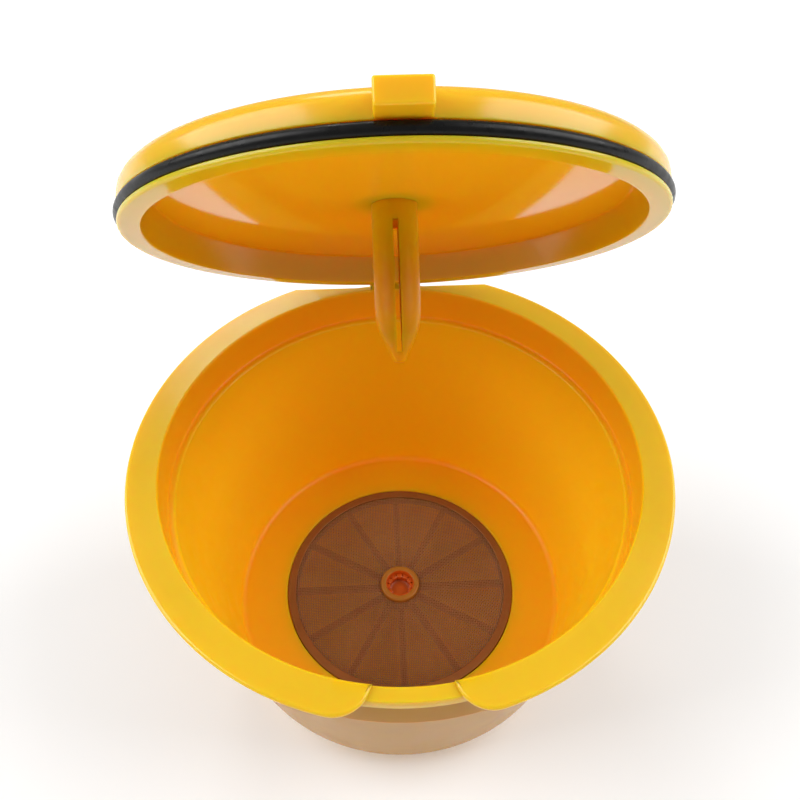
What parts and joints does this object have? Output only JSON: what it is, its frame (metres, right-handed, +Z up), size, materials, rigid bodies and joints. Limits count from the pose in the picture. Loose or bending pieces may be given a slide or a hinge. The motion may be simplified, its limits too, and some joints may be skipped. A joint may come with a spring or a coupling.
{
  "type": "refillable coffee capsule",
  "caption": "Refillable coffee capsule: a flanged plastic cup with a woven mesh filter in its floor and a sealed plug lid on a living hinge, with a slotted needle guide.",
  "frame": {"origin": "centre of the foot ring and of the outlet hole, on the surface that the capsule stands on", "axes": "+Z up through the cup's axis, +Y towards the lid's hinge, -Y towards the finger tab, +X to the right seen from the tab"},
  "size_m": [0.054, 0.0533, 0.0742],
  "materials": {
    "yellow_plastic": "satin translucent polypropylene",
    "brown_plastic": "dark amber moulded plastic",
    "clear_yellow_plastic": "clear amber",
    "woven_steel": "fine woven wire, coffee brown tint",
    "band_steel": "pressed edge band",
    "seal_rubber": "smooth black"
  },
  "bodies": {
    "cup": {"cup": "yellow_plastic", "filter_grid": "brown_plastic", "filter_mesh": "woven_steel", "mesh_ring": "band_steel", "hinge_strap": "yellow_plastic"},
    "lid": {"lid": "yellow_plastic", "needle_guide": "clear_yellow_plastic", "o_ring": "seal_rubber"}
  },
  "joints": [
    {"name": "lid_hinge", "type": "hinge", "parent": "cup", "child": "lid", "pos_m": [0, 0.0263, 0.0323], "axis": [-1, 0, 0], "range_deg": [-51.5, 128.5], "deforming": ["hinge_strap"]}
  ]
}
